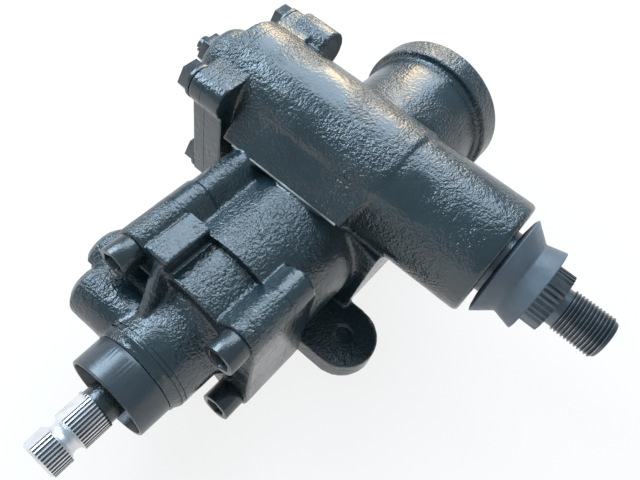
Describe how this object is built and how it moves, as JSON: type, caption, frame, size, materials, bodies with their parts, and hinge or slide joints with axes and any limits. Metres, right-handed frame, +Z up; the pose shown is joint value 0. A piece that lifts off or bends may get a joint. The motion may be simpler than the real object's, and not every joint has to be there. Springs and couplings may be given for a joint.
{
  "type": "steering gearbox",
  "caption": "Recirculating ball power steering gear with a splined input shaft, bolted valve housing, side cover, sector shaft with dust boot and mounting lugs.",
  "frame": {"origin": "on the plane of the mounting pads, midway between the two mounting holes on the output side", "axes": "+X along the worm from the input shaft to the end plug, +Y along the sector shaft from its output end to the side cover, +Z up from the mounting pads"},
  "size_m": [0.311, 0.2615, 0.122],
  "materials": {
    "painted_iron": "gloss black paint on sand cast iron",
    "painted_fastener": "gloss black paint on steel",
    "sleeve_metal": "satin dark paint on smooth steel",
    "machined_steel": "machined bare steel",
    "dark_steel": "phosphated steel",
    "boot_rubber": "satin moulded rubber",
    "seal_rubber": "matte rubber",
    "bronze": "turned bronze",
    "ring_polymer": "slippery white polymer"
  },
  "bodies": {
    "housing": {"gear_housing": "painted_iron", "side_cover": "painted_iron", "side_cover_gasket": "seal_rubber", "side_cover_bolts": "painted_fastener", "cover_bush": "bronze", "adjuster_screw": "painted_fastener", "adjuster_lock_nut": "painted_fastener", "valve_housing": "painted_iron", "valve_housing_seal": "seal_rubber", "valve_housing_bolts": "painted_fastener", "input_sleeve": "sleeve_metal", "input_seal": "seal_rubber", "input_bearing": "machined_steel", "worm_bearing_inner": "machined_steel", "worm_bearing_outer": "machined_steel", "worm_bearing_nut": "dark_steel", "pressure_seat": "bronze", "return_seat": "bronze", "end_plug": "dark_steel", "end_plug_seal": "seal_rubber", "end_plug_ring": "machined_steel", "sector_bearing_inner": "machined_steel", "sector_bearing_outer": "machined_steel", "sector_seal": "seal_rubber", "sector_seal_ring": "machined_steel"},
    "sector": {"sector_shaft": "machined_steel", "dust_boot": "boot_rubber"},
    "rack": {"rack_piston": "machined_steel", "piston_ring": "ring_polymer", "piston_plug": "dark_steel", "ball_guide": "machined_steel", "recirculating_balls": "machined_steel"},
    "worm": {"worm_shaft": "machined_steel", "valve_sleeve": "dark_steel", "valve_rings": "ring_polymer", "torsion_bar": "machined_steel", "drive_pin": "machined_steel"},
    "input": {"input_shaft": "machined_steel"}
  },
  "joints": [
    {"name": "sector_turn", "type": "hinge", "parent": "housing", "child": "sector", "pos_m": [0, 0, 0.089], "axis": [0, 1, 0], "range_deg": [-42, 42]},
    {"name": "rack_travel", "type": "slide", "parent": "housing", "child": "rack", "axis": [1, 0, 0], "range_m": [-0.0148, 0.0148]},
    {"name": "worm_turn", "type": "hinge", "parent": "housing", "child": "worm", "pos_m": [0, 0.054, 0.047], "axis": [1, 0, 0], "range_deg": [-557, 557]},
    {"name": "valve_twist", "type": "hinge", "parent": "worm", "child": "input", "pos_m": [0, 0.054, 0.047], "axis": [1, 0, 0], "range_deg": [-4, 4], "stiffness_Nm_per_rad": 60}
  ],
  "couplings": [
    {"joint": "rack_travel", "follows": "sector_turn", "m_per_rad": -0.02},
    {"joint": "worm_turn", "follows": "sector_turn", "ratio": 13.228}
  ]
}
